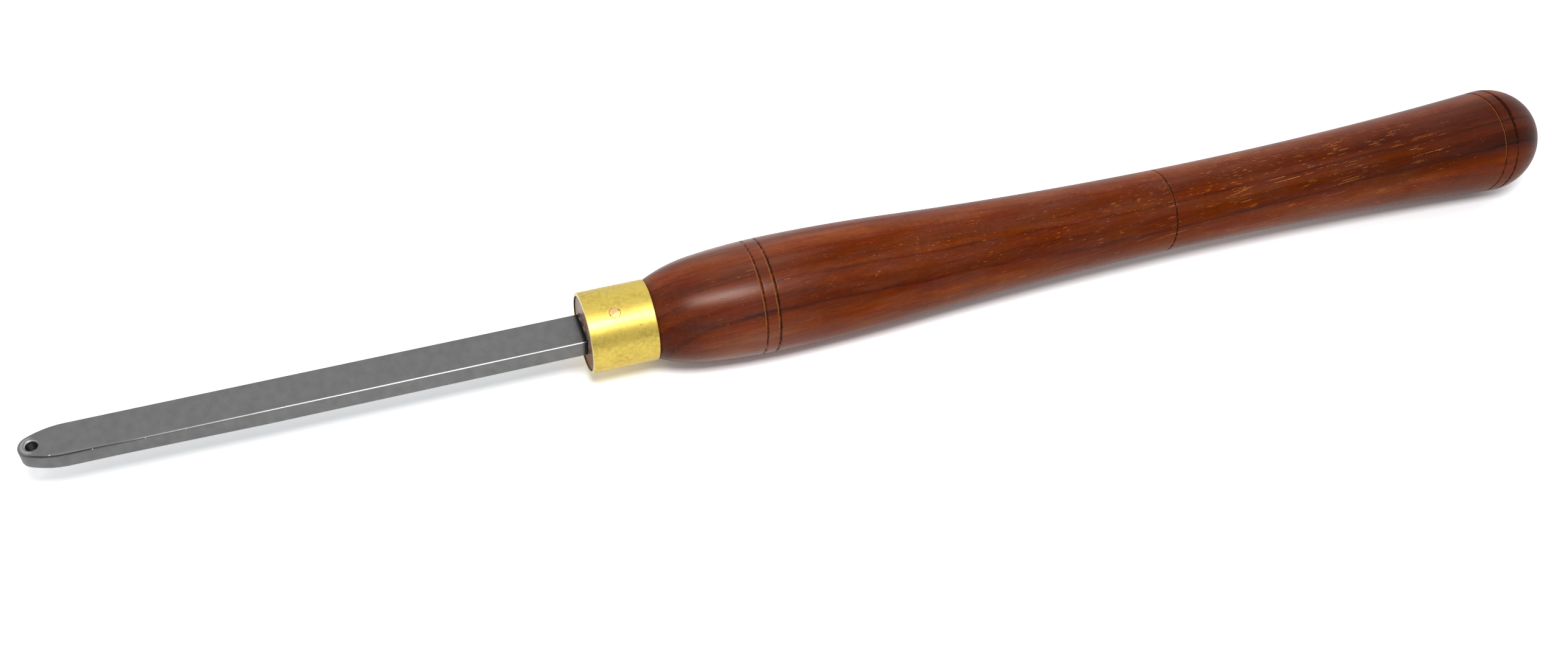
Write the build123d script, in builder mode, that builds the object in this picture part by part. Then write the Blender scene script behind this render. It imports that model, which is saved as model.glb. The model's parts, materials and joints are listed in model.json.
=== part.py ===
from build123d import *
import math
import os

# Woodturning tool: a flat steel bar with a tapped nose, let into a long turned
# handle whose tenon wears a tube ferrule, held by one small countersunk screw.
# Millimetres. The tool lies on its handle on the plane z = 0, with its axis
# along X, its nose towards -X and its middle over the origin. A station is a
# distance along the axis from the ferrule's front face towards the domed end.

# Ferrule, a plain length of tube
FERRULE_R = 12.5
FERRULE_WALL = 1.0
FERRULE_LENGTH = 20.6
FERRULE_EDGE = 0.25

# Steel bar, with a nose ground to a blunt point
BAR_WIDTH = 12.0
BAR_HEIGHT = 6.0
BAR_REACH = 160.0
BAR_DROP = 0.3               # below the handle's axis
BAR_EDGE_R = 0.7
NOSE_TIP_R = 3.9
NOSE_SIDE_R = 24.0
RELIEF_DEPTH = 1.1           # ground away under the nose
RELIEF_LENGTH = 26.0         # full depth, from the nose
RELIEF_RUN_OUT = 40.0
BEVEL_LENGTH = 52.0          # shallow ground facet on the front top edge
BEVEL_WIDTH = 1.7
BEVEL_DEPTH = 0.5

# Tang: the bar steps down to it, and the step seats on the handle's end grain
TANG_WIDTH = 10.0
TANG_HEIGHT = 5.0
TANG_LENGTH = 75.0
TANG_CHAMFER = 1.0

# Tapped hole through the nose, an M4 thread at its core diameter
TAPPED_R = 1.65
TAPPED_FROM_NOSE = 3.8
TAPPED_SINK_R = 2.1
TAPPED_SINK_ANGLE = 90.0

# Handle, with the station and radius of each point where its turned arcs meet
AXIS_HEIGHT = 18.0
TENON_RECESS = 0.3           # the end grain lies just inside the ferrule
MORTISE_SPARE = 2.0          # beyond the tang's end
FOOT_R = 12.1                # beside the ferrule
SHOULDER = (35.8, 16.5)
BULGE = (61.0, 18.0)
FLANK = (101.3, 16.76)
WAIST = (205.6, 13.55)
DOME_STATION = 323.5
DOME_R = 17.6
# turned V grooves: station, radius at the bottom
GROOVES = [
    (52.8, 17.3),
    (56.9, 17.35),
    (194.5, 13.2),
    (319.4, 16.8),
    (323.5, 16.8),
]
GROOVE_ANGLE = 74.0
GROOVE_CUT = 3.0             # height of the V that is taken away

# Ferrule screw, a wood screw with its head filed flush
SCREW_STATION = 8.8
SCREW_ANGLE = -21.3          # from straight up, towards -Y
SCREW_HEAD_R = 1.7
SCREW_HEAD_LAND = 0.15
SCREW_SHANK_R = 1.0
SCREW_LENGTH = 7.5
SCREW_POINT = 1.8
SLOT_WIDTH = 0.45
SLOT_DEPTH = 0.3
SLOT_TURN = 21.0

OVERSHOOT = 1.0              # how far a shape reaches past the surface it cuts

os.makedirs("parts", exist_ok=True)

OVERALL = BAR_REACH + DOME_STATION + DOME_R
FACE_X = BAR_REACH - OVERALL / 2
NOSE_X = FACE_X - BAR_REACH
MOUTH_X = FACE_X + TENON_RECESS
TENON_R = FERRULE_R - FERRULE_WALL
BAR_TOP = AXIS_HEIGHT - BAR_DROP + BAR_HEIGHT / 2
BAR_BOTTOM = BAR_TOP - BAR_HEIGHT

tool_axis = Axis((FACE_X, 0, AXIS_HEIGHT), (1, 0, 0))
# drawings of turned pieces: station to the right, radius upwards
turning = Plane(origin=(FACE_X, 0, AXIS_HEIGHT), x_dir=(1, 0, 0), z_dir=(0, -1, 0))
# the handle's end grain, around the bar's own axis
mouth = Plane(origin=(MOUTH_X, 0, AXIS_HEIGHT - BAR_DROP), x_dir=(0, 1, 0), z_dir=(1, 0, 0))


# The bar's plan is a straight flank, a long side arc and a small tip arc, each
# tangent to the next, mirrored about the axis.
side_drop = NOSE_SIDE_R - BAR_WIDTH / 2
side_run = math.sqrt((NOSE_SIDE_R - NOSE_TIP_R) ** 2 - side_drop**2)
tip_centre = Vector(NOSE_X + NOSE_TIP_R, 0)
flank_end = Vector(tip_centre.X + side_run, BAR_WIDTH / 2)
side_to_tip = Vector(-side_run, side_drop).normalized()
arc_join = tip_centre + side_to_tip * NOSE_TIP_R

with BuildPart() as steel_bar:
    with BuildSketch(Plane.XY.offset(BAR_BOTTOM)):
        with BuildLine():
            Polyline((MOUTH_X, 0), (MOUTH_X, BAR_WIDTH / 2), flank_end)
            side_arc = TangentArc(flank_end, arc_join, tangent=(-1, 0))
            TangentArc(arc_join, (NOSE_X, 0), tangent=side_arc % 1)
            mirror(about=Plane.XZ)
        make_face()
    extrude(amount=BAR_HEIGHT)
    rims = steel_bar.edges().filter_by(Axis.Z, reverse=True)
    fillet(rims.filter_by(Axis.Y, reverse=True), radius=BAR_EDGE_R)
    # ground relief under the nose
    with BuildSketch(Plane.XZ):
        with BuildLine():
            Polyline(
                (NOSE_X - OVERSHOOT, BAR_BOTTOM - OVERSHOOT),
                (NOSE_X - OVERSHOOT, BAR_BOTTOM + RELIEF_DEPTH),
                (NOSE_X + RELIEF_LENGTH, BAR_BOTTOM + RELIEF_DEPTH),
                (NOSE_X + RELIEF_LENGTH + RELIEF_RUN_OUT, BAR_BOTTOM),
                (NOSE_X + RELIEF_LENGTH + RELIEF_RUN_OUT, BAR_BOTTOM - OVERSHOOT),
                close=True,
            )
        make_face()
    extrude(amount=BAR_WIDTH, both=True, mode=Mode.SUBTRACT)
    # shallow facet that fades out along the front top edge
    facet_side = Vector(0, BEVEL_WIDTH, BEVEL_DEPTH)
    facet_run = Vector(BEVEL_LENGTH, 0, BEVEL_DEPTH)
    facet = Plane(
        origin=(NOSE_X, -BAR_WIDTH / 2, BAR_TOP - BEVEL_DEPTH),
        x_dir=facet_run,
        z_dir=facet_run.cross(facet_side),
    )
    split(bisect_by=facet, keep=Keep.BOTTOM)
    with Locations((NOSE_X + TAPPED_FROM_NOSE, 0, BAR_TOP)):
        CounterSinkHole(
            radius=TAPPED_R,
            counter_sink_radius=TAPPED_SINK_R,
            counter_sink_angle=TAPPED_SINK_ANGLE,
        )
    with BuildSketch(mouth):
        Rectangle(TANG_WIDTH, TANG_HEIGHT)
    extrude(amount=TANG_LENGTH)
    chamfer(steel_bar.faces().sort_by(Axis.X)[-1].edges(), length=TANG_CHAMFER)

# The screw's outline is drawn from its axis outwards, its head above, and it
# is filed to the ferrule's curve.
screw_tilt = math.radians(SCREW_ANGLE)
screw_out = Vector(0, math.sin(screw_tilt), math.cos(screw_tilt))
screw_at = Vector(FACE_X + SCREW_STATION, 0, AXIS_HEIGHT) + screw_out * FERRULE_R
screw_side = Plane(origin=screw_at, x_dir=(1, 0, 0), z_dir=Vector(1, 0, 0).cross(screw_out))
screw_top = Plane(origin=screw_at, x_dir=(1, 0, 0), z_dir=screw_out)
head_bottom = -SCREW_HEAD_LAND - (SCREW_HEAD_R - SCREW_SHANK_R)

with BuildPart() as screw_blank:
    with BuildSketch(screw_side):
        with BuildLine():
            Polyline(
                (0, OVERSHOOT),
                (SCREW_HEAD_R, OVERSHOOT),
                (SCREW_HEAD_R, -SCREW_HEAD_LAND),
                (SCREW_SHANK_R, head_bottom),
                (SCREW_SHANK_R, SCREW_POINT - SCREW_LENGTH),
                (0, -SCREW_LENGTH),
                close=True,
            )
        make_face()
    revolve(axis=Axis(screw_at, screw_out))
    with BuildSketch(Plane(tool_axis.position, z_dir=tool_axis.direction)):
        Circle(FERRULE_R)
    extrude(amount=FERRULE_LENGTH, mode=Mode.INTERSECT)

with BuildPart() as ferrule_screw:
    add(screw_blank.part)
    with BuildSketch(screw_top):
        Rectangle(2 * (SCREW_HEAD_R + OVERSHOOT), SLOT_WIDTH, rotation=SLOT_TURN)
    extrude(amount=SLOT_DEPTH, both=True, mode=Mode.SUBTRACT)

with BuildPart() as ferrule:
    with BuildSketch(turning):
        with Locations((FERRULE_LENGTH / 2, FERRULE_R - FERRULE_WALL / 2)):
            Rectangle(FERRULE_LENGTH, FERRULE_WALL)
        chamfer(vertices().group_by(Axis.Y)[-1], length=FERRULE_EDGE)
    revolve(axis=tool_axis)
    add(screw_blank.part, mode=Mode.SUBTRACT)

flare = GROOVE_CUT * math.tan(math.radians(GROOVE_ANGLE / 2))

with BuildPart() as handle:
    with BuildSketch(turning):
        with BuildLine():
            Polyline(
                (DOME_STATION + DOME_R, 0),
                (TENON_RECESS, 0),
                (TENON_RECESS, TENON_R),
                (FERRULE_LENGTH, TENON_R),
                (FERRULE_LENGTH, FOOT_R),
            )
            shoulder_arc = TangentArc(BULGE, SHOULDER, tangent=(-1, 0))
            TangentArc(SHOULDER, (FERRULE_LENGTH, FOOT_R), tangent=shoulder_arc % 1)
            flank_arc = TangentArc(BULGE, FLANK, tangent=(1, 0))
            waist_arc = TangentArc(FLANK, WAIST, tangent=flank_arc % 1)
            TangentArc(WAIST, (DOME_STATION, DOME_R), tangent=waist_arc % 1)
            RadiusArc((DOME_STATION, DOME_R), (DOME_STATION + DOME_R, 0), DOME_R)
        make_face()
        for station, bottom_r in GROOVES:
            with BuildLine():
                Polyline(
                    (station, bottom_r),
                    (station + flare, bottom_r + GROOVE_CUT),
                    (station - flare, bottom_r + GROOVE_CUT),
                    close=True,
                )
            make_face(mode=Mode.SUBTRACT)
    revolve(axis=tool_axis)
    # mortise for the tang, and the hole for the ferrule screw
    with BuildSketch(mouth):
        Rectangle(TANG_WIDTH, TANG_HEIGHT)
    extrude(amount=TANG_LENGTH + MORTISE_SPARE, mode=Mode.SUBTRACT)
    add(screw_blank.part, mode=Mode.SUBTRACT)

steel_bar.part.label = "steel_bar"
handle.part.label = "handle"
ferrule.part.label = "ferrule"
ferrule_screw.part.label = "ferrule_screw"

export_step(steel_bar.part, "parts/steel_bar.step")
export_step(handle.part, "parts/handle.step")
export_step(ferrule.part, "parts/ferrule.step")
export_step(ferrule_screw.part, "parts/ferrule_screw.step")
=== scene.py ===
import json
import math
from collections import namedtuple

import bpy
import numpy as np
from mathutils import Matrix, Vector


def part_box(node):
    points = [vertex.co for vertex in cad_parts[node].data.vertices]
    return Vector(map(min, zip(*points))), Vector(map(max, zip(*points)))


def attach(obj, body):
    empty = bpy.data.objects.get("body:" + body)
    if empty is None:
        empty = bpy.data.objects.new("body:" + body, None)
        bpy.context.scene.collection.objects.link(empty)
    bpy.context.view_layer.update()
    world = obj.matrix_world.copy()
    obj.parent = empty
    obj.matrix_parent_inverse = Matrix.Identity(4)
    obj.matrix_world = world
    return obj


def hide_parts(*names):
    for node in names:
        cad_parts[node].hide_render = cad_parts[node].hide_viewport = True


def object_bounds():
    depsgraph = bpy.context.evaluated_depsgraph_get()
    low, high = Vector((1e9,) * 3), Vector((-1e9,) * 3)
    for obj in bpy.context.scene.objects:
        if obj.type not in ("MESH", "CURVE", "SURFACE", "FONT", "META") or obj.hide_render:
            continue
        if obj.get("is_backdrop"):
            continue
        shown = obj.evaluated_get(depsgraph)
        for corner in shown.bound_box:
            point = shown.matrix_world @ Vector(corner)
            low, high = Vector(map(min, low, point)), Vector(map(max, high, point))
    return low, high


bl_info = {
    "name": "Woodturning tool",
    "version": (1, 0, 0),
    "blender": (4, 5, 0),
    "location": "View3D > Sidebar > Turning tool",
    "description": "Turned hardwood handle, brass ferrule and ground steel bar of a woodturning tool",
    "category": "Add Mesh",
}

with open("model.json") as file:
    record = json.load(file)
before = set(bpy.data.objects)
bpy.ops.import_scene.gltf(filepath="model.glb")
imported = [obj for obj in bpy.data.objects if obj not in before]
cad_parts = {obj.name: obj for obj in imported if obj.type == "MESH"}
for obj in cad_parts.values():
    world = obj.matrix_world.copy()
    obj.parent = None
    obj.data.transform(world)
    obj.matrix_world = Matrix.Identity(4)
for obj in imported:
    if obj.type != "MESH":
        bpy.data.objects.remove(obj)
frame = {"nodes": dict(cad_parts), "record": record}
cad_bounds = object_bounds()

MM = 0.001
FERRULE_LENGTH = 20.6

# Where the frame puts the tool. A station is a distance along the axis from the
# ferrule's front face, in millimetres, and a turn is an angle about the axis,
# from straight up towards -Y.
mounts = {mount["kind"]: mount for mount in frame["record"]["mounts"]}
AXIS_HEIGHT = mounts["other"]["pos_m"][2] / MM
TAPPED_X, TAPPED_Y = (value / MM for value in mounts["threaded_hole"]["pos_m"][:2])
TAPPED_R = mounts["threaded_hole"]["dims"]["r_mm"]
FACE_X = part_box("ferrule")[0].x / MM
NOSE_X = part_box("steel_bar")[0].x / MM
BAR_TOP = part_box("steel_bar")[1].z / MM


def linear(code):
    """An sRGB hex colour as linear red, green, blue and full alpha."""
    channels = [int(code[i:i + 2], 16) / 255 for i in (0, 2, 4)]
    return tuple(
        c / 12.92 if c <= 0.04045 else ((c + 0.055) / 1.055) ** 2.4 for c in channels
    ) + (1.0,)


def length_property(name, description, millimetres):
    return bpy.props.FloatProperty(
        name=name, description=description, default=millimetres * MM,
        subtype="DISTANCE", unit="LENGTH", precision=5,
    )


def joint_property(name, description, station, radius):
    return bpy.props.FloatVectorProperty(
        name=name, description=description, size=2, default=(station * MM, radius * MM),
        subtype="XYZ_LENGTH", unit="LENGTH", precision=5,
    )


def colour_property(name, description, code):
    return bpy.props.FloatVectorProperty(
        name=name, description=description, size=4, default=linear(code),
        subtype="COLOR", min=0, max=1,
    )


class HandleSettings(bpy.types.PropertyGroup):
    foot_radius: length_property("Foot radius", "Radius of the wood beside the ferrule", 12.1)
    shoulder: joint_property("Shoulder", "Station and radius where the front arcs meet", 35.8, 16.5)
    bulge: joint_property("Bulge", "Station and radius of the widest turn at the front", 61.0, 18.0)
    flank: joint_property("Flank", "Station and radius where the bulge turns hollow", 101.3, 16.76)
    waist: joint_property("Waist", "Station and radius near the slimmest turn", 205.6, 13.55)
    dome_station: length_property("Dome station", "Where the domed end begins", 323.5)
    dome_radius: length_property("Dome radius", "Radius of the domed end", 17.6)
    groove_angle: bpy.props.FloatProperty(
        name="Groove angle", description="Angle between the two sides of a turned V groove",
        default=math.radians(74.0), subtype="ANGLE", unit="ROTATION",
    )
    # also painted shade in the end grain's gap beside the ferrule
    line: colour_property("Dark lines", "Thin lines between growth layers, and open pores", "30160F")
    dark: colour_property("Dark layers", "Wood of the dark growth layers", "501F11")
    middle: colour_property("Middle layers", "Wood between the dark and the pale layers", "702F13")
    pale: colour_property("Pale layers", "Wood of the pale growth layers", "A45426")
    fleck: colour_property("Flecks", "Golden deposits in the pores", "C87A38")
    rim: colour_property("Groove rims", "The front sides of the grooves", "9C6226")
    end_brown: colour_property("End grain", "Scraped end grain in the ferrule's mouth", "A87850")
    end_red: colour_property("Red end grain", "Its redder rings", "985E3E")
    end_pale: colour_property("Pale end grain", "Its pinkish patches", "DCC6B4")


class FerruleSettings(bpy.types.PropertyGroup):
    length: length_property("Length", "Length of the tube", FERRULE_LENGTH)
    radius: length_property("Radius", "Outside radius of the tube", 12.5)
    wall: length_property("Wall", "Thickness of the tube", 1.0)
    edge: length_property("Edge", "Rounding of the outer edges", 0.25)
    brass: colour_property("Brass", "Clean rubbed brass", "E6CB62")
    tarnish: colour_property("Tarnish", "Olive bloom on the brass", "A8924A")
    # the rims are partly rubbed metal and partly a painted highlight on their rounded edges
    wear_and_highlight: colour_property("Worn rims", "Bright metal at both ends", "F6E9BE")
    # dirt in the pit, and painted shade in the bore
    grime_and_shade: colour_property("Grime", "Dirt in the pit and in the bore", "3C2A14")


class BarSettings(bpy.types.PropertyGroup):
    width: length_property("Width", "Width of the flat bar", 12.0)
    height: length_property("Height", "Height of the flat bar", 6.0)
    edge: length_property("Edge radius", "Rounding along the bar's edges", 0.7)
    tip_radius: length_property("Tip radius", "The nose's small arc in plan", 3.9)
    side_radius: length_property("Side radius", "The long arcs that run into the nose", 24.0)
    steel: colour_property("Steel", "Satin ground tool steel", "7E7E7E")
    steel_dark: colour_property("Dull steel", "Its duller clouds", "747474")
    # partly rubbed metal, and along the front edge also a painted highlight
    wear_and_highlight: colour_property("Worn steel", "Rubbed places on the nose and the front edge", "C8C6C0")
    # painted reflection: this colour is the dark band along the nose's facet, standing in for what the
    # facet reflects
    scale: colour_property("Mill scale", "The dark band that was not ground", "2C2C2C")
    # painted shade: this colour darkens the thread and the bar's root, where it also stands for the
    # wood's dark reflection
    painted_shade: colour_property("Oily steel", "The thread and the root of the bar", "1C1D20")
    nick: colour_property("Nicks", "Fresh metal in the nicks of the front edge", "F3F3F1")


class AdhesiveSettings(bpy.types.PropertyGroup):
    thickness: length_property("Thickness", "Usual radius of the bead of dried adhesive", 0.3)
    dark: colour_property("Dark epoxy", "Clear and dirty places in the bead", "2A2724")
    pale: colour_property("Pale epoxy", "Its milky clouds", "8A8476")


class ScrewSettings(bpy.types.PropertyGroup):
    brass: colour_property("Screw brass", "The filed screw head", "E2C67C")
    pink: colour_property("Pink brass", "The redder side of the head", "D8A888")
    # painted shade round the head and in the slot
    grime_and_shade: colour_property("Dirt", "The dark line round the head and in the slot", "5A3A1C")


class StageSettings(bpy.types.PropertyGroup):
    key_power: bpy.props.FloatProperty(
        name="Key light", description="Power of the soft box above the tool, in watts",
        default=2.2, min=0,
    )
    fill: bpy.props.FloatProperty(
        name="Fill", description="Strength of the even light from all around", default=0.45, min=0,
    )


class ToolSettings(bpy.types.PropertyGroup):
    handle: bpy.props.PointerProperty(type=HandleSettings)
    ferrule: bpy.props.PointerProperty(type=FerruleSettings)
    bar: bpy.props.PointerProperty(type=BarSettings)
    adhesive: bpy.props.PointerProperty(type=AdhesiveSettings)
    screw: bpy.props.PointerProperty(type=ScrewSettings)
    stage: bpy.props.PointerProperty(type=StageSettings)


# Meshes

def closed_tube(rings, first_pole=None, last_pole=None):
    """Points, four-sided faces and three-sided faces of a tube through rings.

    The rings are an array of rings by points by 3, and each closes on itself. The pole points close
    the two ends, and with none given the last ring joins the first, as on a torus. The faces are
    turned over where the volume inside them comes out negative.
    """
    count, around = rings.shape[:2]
    points = rings.reshape(-1, 3)
    here = np.arange(count * around).reshape(count, around)
    beside = np.roll(here, -1, axis=1)
    if first_pole is None:
        ahead, ahead_beside = np.roll(here, -1, axis=0), np.roll(beside, -1, axis=0)
        quads = np.stack([here, beside, ahead_beside, ahead], axis=-1).reshape(-1, 4)
        fans = np.zeros((0, 3), int)
    else:
        quads = np.stack([here[:-1], beside[:-1], beside[1:], here[1:]], axis=-1).reshape(-1, 4)
        first, last = len(points), len(points) + 1
        points = np.concatenate([points, [first_pole], [last_pole]])
        fans = np.concatenate([
            np.stack([beside[0], here[0], np.full(around, first)], axis=-1),
            np.stack([here[-1], beside[-1], np.full(around, last)], axis=-1),
        ])
    triangles = np.concatenate([quads[:, [0, 1, 2]], quads[:, [0, 2, 3]], fans])
    a, b, c = np.moveaxis((points - points.mean(axis=0))[triangles], 1, 0)
    if np.sum(a * np.cross(b, c)) < 0:
        quads, fans = quads[:, ::-1], fans[:, ::-1]
    return points, quads, fans


def new_mesh(name, *tubes):
    """One smooth mesh of closed tubes, whose points are in millimetres."""
    points, faces = [], []
    first = 0
    for tube_points, quads, fans in tubes:
        points.append(tube_points)
        faces += (quads + first).tolist() + (fans + first).tolist()
        first += len(tube_points)
    mesh = bpy.data.meshes.new(name)
    mesh.from_pydata((np.concatenate(points) * MM).tolist(), [], faces)
    mesh.polygons.foreach_set("use_smooth", np.ones(len(mesh.polygons), bool))
    mesh.update()
    return mesh


def mark(mesh, name, values):
    """Stores a value for each of a mesh's first points, and 0 for the rest, for its material."""
    marks = np.zeros(len(mesh.vertices), np.float32)
    marks[:values.size] = values.ravel()
    mesh.attributes.new(name, "FLOAT", "POINT").data.foreach_set("value", marks)


def add_piece(name, mesh, material, slot=None, *nodes):
    """Links a mesh as a piece of the tool.

    The slot is not used, and the nodes are those of the CAD that it stands for.
    """
    mesh.materials.append(material)
    piece = bpy.data.objects.new(name, mesh)
    bpy.context.scene.collection.objects.link(piece)
    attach(piece, "root")
    if nodes:
        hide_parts(*nodes)


def turned(station, radius, turn):
    """Points of a turned surface.

    x is the station, and from the axis y is -radius sin(turn) and z is radius cos(turn).
    """
    station, radius, turn = np.broadcast_arrays(station, radius, turn)
    return np.stack(
        [FACE_X + station, -radius * np.sin(turn), AXIS_HEIGHT + radius * np.cos(turn)], axis=-1
    )


def waves(station, turn, seed, spacing, most_turns, count=40):
    """Smooth random unevenness of about 1: a sum of sines.

    Each has its own wavelength along the tool, from spacing upwards, its own whole number of waves
    around it, up to most_turns, and its own phase.
    """
    draw = np.random.default_rng(seed)
    along = draw.uniform(-1, 1, count) * 2 * np.pi / spacing
    about = draw.integers(0, most_turns + 1, count)
    phase = draw.uniform(0, 2 * np.pi, count)
    total = np.zeros(np.broadcast(station, turn).shape)
    for a, b, c in zip(along, about, phase):
        total += np.sin(a * station + b * turn + c)
    return total * math.sqrt(2 / count)


def smooth_step(value, low, high):
    """0 below low, 1 above high, and 3t^2 - 2t^3 between them."""
    t = np.clip((value - low) / (high - low), 0, 1)
    return t * t * (3 - 2 * t)


def tangent_arc(start, end, heading, count=120):
    """Points of the circle that leaves start along heading and reaches end, and the heading there.

    Its centre lies on the normal to the heading at start, and its radius is the chord squared over
    twice the chord's reach along that normal.
    """
    start, end, heading = np.array(start), np.array(end), np.array(heading)
    normal = np.array([-heading[1], heading[0]])
    chord = end - start
    radius = chord @ chord / (2 * chord @ normal)
    centre = start + normal * radius
    first = math.atan2(*(start - centre)[::-1])
    last = math.atan2(*(end - centre)[::-1])
    sweep = (last - first + math.pi) % (2 * math.pi) - math.pi
    angle = first + sweep * np.linspace(0, 1, count)
    points = centre + abs(radius) * np.stack([np.cos(angle), np.sin(angle)], axis=-1)
    turn = math.copysign(1, sweep)
    return points, np.array([-math.sin(last), math.cos(last)]) * turn


# The turned grooves: station, radius at the bottom, how ragged it is, how dark, how far the dark
# reaches behind the bottom, and the turns in degrees between which the front rim shows pale, with
# how pale
Groove = namedtuple("Groove", "station bottom ragged dark back pale_from pale_to pale")
GROOVES = (
    Groove(52.8, 17.3, 0.7, 0.72, 0.30, -10, 78, 0.8),
    Groove(56.9, 17.35, 0.8, 0.85, 0.55, -14, 85, 0.8),
    Groove(194.5, 13.15, 0.4, 1.0, 0.32, -45, 35, 0.45),
    Groove(319.4, 16.8, 0.3, 0.80, 0.22, -14, 66, 1.0),
    Groove(323.5, 16.8, 1.0, 1.0, 1.0, 54, 66, 0.5),
)
SOFTER_ABOVE = (-24.0, -4.0)     # the turns between which the grooves fade to a softer brown
SIDE_WANDER = 0.03           # of a ragged groove along the tool
BOTTOM_WANDER = 0.04         # of every groove's bottom, slowly around the handle
BOTTOM_TEAR = 0.06           # of a ragged groove's bottom, in short tears
RIM_ROUNDING = 0.05
DARK_DEPTHS = (0.02, 0.15)       # depths of cut between which the dark sets in
DARK_FADES_IN = (-0.24, -0.04)   # from the bottom: where it begins and where it is full
DARK_FADE = 0.12             # either side of where it ends
SOFTER_SHARE = 0.6           # of the dark, where the grooves are a softer brown
RIM_FADES_IN = (0.36, 0.16)      # before the rim: where its pale wood begins and where it is full
RIM_FADES_OUT = (-0.26, -0.08)   # from the bottom: where it begins to fade and where it ends
RIM_TURN_FADE = 8            # degrees either side of its two ends
GROOVE_REACH = 1.1           # half the stretch around a groove that gets fine rings
GROOVE_STEP = 0.12           # between those rings
PLAIN_STEP = 3.2             # between rings on the plain stretches
PLAIN_MARGIN = 0.4           # between a groove's fine rings and the next plain one, at least
TENON_RECESS = 0.3
TENON_R = 11.5
MORTISE_LENGTH = 77.0
TANG_SHARE = 5 / 6           # of the bar's width and height, for the tang and its mortise
BAR_DROP = 0.3               # of the bar's middle below the axis
POINTS_AROUND = 400          # of each ring of the handle
CREASE = 0.05                # between the two rings at a sharp edge


def turned_outline(handle):
    """Stations and radii of the handle from the ferrule to the dome.

    They lie on five arcs, each tangent to the next.
    """
    foot = (FERRULE_LENGTH, handle.foot_radius / MM)
    joints = (handle.shoulder, handle.bulge, handle.flank, handle.waist)
    shoulder, bulge, flank, waist = (tuple(v / MM for v in joint) for joint in joints)
    dome = (handle.dome_station / MM, handle.dome_radius / MM)
    front, heading = tangent_arc(bulge, shoulder, (-1.0, 0.0))
    neck, _ = tangent_arc(shoulder, foot, heading)
    back, heading = tangent_arc(bulge, flank, (1.0, 0.0))
    hollow, heading = tangent_arc(flank, waist, heading)
    swell, _ = tangent_arc(waist, dome, heading)
    return np.concatenate([neck[::-1], front[::-1], back, hollow, swell])


def last_groove_fill(degrees):
    """How much shallower the last groove is at each turn, in millimetres.

    Between two turns its wood is torn out and it is deeper than the tool cut it. Beyond them it is
    shallower, and just past the second it almost closes.
    """
    torn = smooth_step(degrees, -18, -8) * (1 - smooth_step(degrees, 51, 54))
    closed = smooth_step(degrees, 52, 54) * (1 - smooth_step(degrees, 58, 64))
    shallow, torn_depth, closed_height = 0.3, 0.45, 0.22
    return shallow - torn_depth * torn + closed_height * closed


def grooved(station, radius, turn, half_angle):
    """The radius with the V grooves taken out of it, and how dark and how pale the wood is there.

    Near each groove the radius is the smaller of the outline's and the V's, which is its bottom
    radius plus the distance from its station over the tangent of half its angle. The bottom and the
    station wander with the turn, most where the wood is ragged, and a small square root rounds the
    rims. The wood is dark from just before the bottom towards the back rim, and pale from there to
    the front rim. The random waves of each groove have seeds of their own, from 10 to 59.
    """
    degrees = (np.degrees(turn) + 180) % 360 - 180
    dark = np.zeros(np.broadcast(radius, turn).shape)
    pale = np.zeros_like(dark)
    for index, groove in enumerate(GROOVES):
        near_groove = np.abs(station - groove.station) < GROOVE_REACH
        side = station - groove.station
        side = side - SIDE_WANDER * groove.ragged * waves(0, turn, 10 + index, 1, 60)
        bottom = groove.bottom + BOTTOM_WANDER * waves(0, turn, 20 + index, 1, 40)
        bottom = bottom + BOTTOM_TEAR * groove.ragged * waves(station, turn, 30 + index, 1.0, 120)
        if index == len(GROOVES) - 1:
            bottom = bottom + last_groove_fill(degrees)
        half_width = np.maximum(radius - bottom, 0) * math.tan(half_angle)
        gap = radius - bottom - np.abs(side) / math.tan(half_angle)
        cut = (gap + np.sqrt(gap**2 + RIM_ROUNDING**2)) / 2 * near_groove
        uneven = np.clip(0.85 + 0.25 * waves(station, turn, 40 + index, 3.0, 60), 0, 1)
        back = groove.back * (1 + 0.25 * waves(0, turn, 50 + index, 1, 90))
        here = smooth_step(cut, *DARK_DEPTHS) * smooth_step(side, *DARK_FADES_IN)
        here = here * (1 - smooth_step(side, back - DARK_FADE, back + DARK_FADE)) * uneven
        full = SOFTER_SHARE + (1 - SOFTER_SHARE) * smooth_step(degrees, *SOFTER_ABOVE)
        here = here * groove.dark * full
        dark = np.maximum(dark, here * near_groove)
        front = smooth_step(side, -half_width - RIM_FADES_IN[0], -half_width - RIM_FADES_IN[1])
        front = front * (1 - smooth_step(side, *RIM_FADES_OUT))
        shown, hidden = (
            smooth_step(degrees, end - RIM_TURN_FADE, end + RIM_TURN_FADE)
            for end in (groove.pale_from, groove.pale_to)
        )
        shown = shown * (1 - hidden)
        pale = np.maximum(pale, groove.pale * front * shown * near_groove)
        radius = radius - cut
    return radius, dark, pale


def rectangle_ring(x, width, height, turn, rounding=0.02):
    """A ring on a rectangle: a circle just round it, clipped each way to half the rectangle's size."""
    reach = math.hypot(width, height) / 2 + rounding
    side = np.clip(-reach * np.sin(turn), -width / 2, width / 2)
    up = np.clip(reach * np.cos(turn), -height / 2, height / 2)
    return np.stack([np.full_like(turn, x), side, AXIS_HEIGHT - BAR_DROP + up], axis=-1)


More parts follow.
